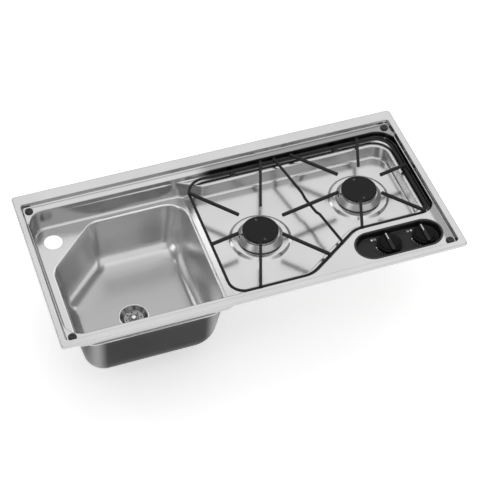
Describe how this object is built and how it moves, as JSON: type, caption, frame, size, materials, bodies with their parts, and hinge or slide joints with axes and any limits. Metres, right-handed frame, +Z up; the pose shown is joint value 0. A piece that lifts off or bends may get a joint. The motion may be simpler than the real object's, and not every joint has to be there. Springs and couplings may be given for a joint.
{
  "type": "built-in sink and gas hob unit",
  "caption": "Pressed steel kitchenette top for a worktop cut-out, with a deep sink bowl, a tap hole, gas burners under a wire pan support and push-turn knobs in a sunk panel",
  "frame": {"origin": "the middle of the outline in plan, at the height of the kitchen worktop that the rim rests on", "axes": "+X runs from the sink to the hob, +Y from the knobs to the rear, +Z up"},
  "size_m": [0.86, 0.425, 0.231],
  "materials": {
    "steel_sheet": "pressed stainless sheet, satin flange, darker fine brushing inside the hob pan",
    "bowl_steel": "drawn stainless bowl, satin finish",
    "seal_foam": "dark closed-cell foam strip",
    "black_rubber": "matt black rubber",
    "bright_steel": "polished stainless steel",
    "white_plastic": "moulded white plastic",
    "black_panel": "black moulded panel, glossy wall and satin floor",
    "zinc_steel": "zinc-plated steel",
    "brass": "turned and die-cast brass",
    "black_knob": "black moulded knob, semi-gloss",
    "white_mark": "white inlaid pointer",
    "aluminium_pipe": "bent aluminium tube",
    "cast_aluminium": "die-cast aluminium, fine satin",
    "black_gasket": "black heat-proof gasket",
    "black_enamel": "matt black enamel",
    "black_enamel_rod": "matt black enamelled steel rod",
    "copper": "thin copper capillary tube"
  },
  "bodies": {
    "unit": {"worktop": "steel_sheet", "sink_bowl": "bowl_steel", "rim_seal": "seal_foam", "corner_bumpers": "black_rubber", "drain_flange": "bright_steel", "drain_strainer": "bright_steel", "drain_screw": "bright_steel", "drain_gasket": "black_rubber", "waste_body": "white_plastic", "control_panel": "black_panel", "tap_bracket": "zinc_steel", "bracket_nuts": "zinc_steel", "gas_rail": "zinc_steel", "inlet_pipe": "zinc_steel", "gas_tap_left": "brass", "magnet_valve_left": "zinc_steel", "tap_spring_left": "zinc_steel", "feed_pipe_left": "aluminium_pipe", "burner_cup_left": "cast_aluminium", "burner_jet_left": "brass", "burner_gasket_left": "black_gasket", "thermocouple_left": "bright_steel", "thermocouple_lead_left": "copper", "gas_tap_right": "brass", "magnet_valve_right": "zinc_steel", "tap_spring_right": "zinc_steel", "feed_pipe_right": "aluminium_pipe", "burner_cup_right": "cast_aluminium", "burner_jet_right": "brass", "burner_gasket_right": "black_gasket", "thermocouple_right": "bright_steel", "thermocouple_lead_right": "copper", "burner_screws": "bright_steel", "clamp_brackets": "zinc_steel", "clamp_screws": "zinc_steel"},
    "pan_support": {"pan_support_ring": "black_enamel_rod", "pan_support_fingers": "black_enamel_rod", "pan_support_brace": "black_enamel_rod", "pan_support_feet": "black_rubber"},
    "spreader_left": {"flame_spreader_left": "cast_aluminium"},
    "cap_left": {"burner_cap_left": "black_enamel"},
    "plunger_left": {"tap_plunger_left": "zinc_steel"},
    "knob_left": {"tap_spindle_left": "brass", "knob_left": "black_knob", "knob_pointer_left": "white_mark"},
    "spreader_right": {"flame_spreader_right": "cast_aluminium"},
    "cap_right": {"burner_cap_right": "black_enamel"},
    "plunger_right": {"tap_plunger_right": "zinc_steel"},
    "knob_right": {"tap_spindle_right": "brass", "knob_right": "black_knob", "knob_pointer_right": "white_mark"}
  },
  "joints": [
    {"name": "pan_support_lift", "type": "slide", "parent": "unit", "child": "pan_support", "axis": [0, 0, 1], "range_m": [0, 0.08]},
    {"name": "spreader_lift_left", "type": "slide", "parent": "unit", "child": "spreader_left", "axis": [0, 0, 1], "range_m": [0, 0.05]},
    {"name": "cap_lift_left", "type": "slide", "parent": "spreader_left", "child": "cap_left", "axis": [0, 0, 1], "range_m": [0, 0.04]},
    {"name": "knob_push_left", "type": "slide", "parent": "unit", "child": "plunger_left", "axis": [0, 0, -1], "range_m": [0, 0.003], "stiffness_N_per_m": 1500, "springref_m": -0.004, "deforming": ["tap_spring_left"]},
    {"name": "knob_turn_left", "type": "hinge", "parent": "plunger_left", "child": "knob_left", "pos_m": [0.283, -0.1477, -0.035], "axis": [0, 0, 1], "range_deg": [0, 200]},
    {"name": "spreader_lift_right", "type": "slide", "parent": "unit", "child": "spreader_right", "axis": [0, 0, 1], "range_m": [0, 0.05]},
    {"name": "cap_lift_right", "type": "slide", "parent": "spreader_right", "child": "cap_right", "axis": [0, 0, 1], "range_m": [0, 0.04]},
    {"name": "knob_push_right", "type": "slide", "parent": "unit", "child": "plunger_right", "axis": [0, 0, -1], "range_m": [0, 0.003], "stiffness_N_per_m": 1500, "springref_m": -0.004, "deforming": ["tap_spring_right"]},
    {"name": "knob_turn_right", "type": "hinge", "parent": "plunger_right", "child": "knob_right", "pos_m": [0.362, -0.1477, -0.035], "axis": [0, 0, 1], "range_deg": [0, 200]}
  ]
}
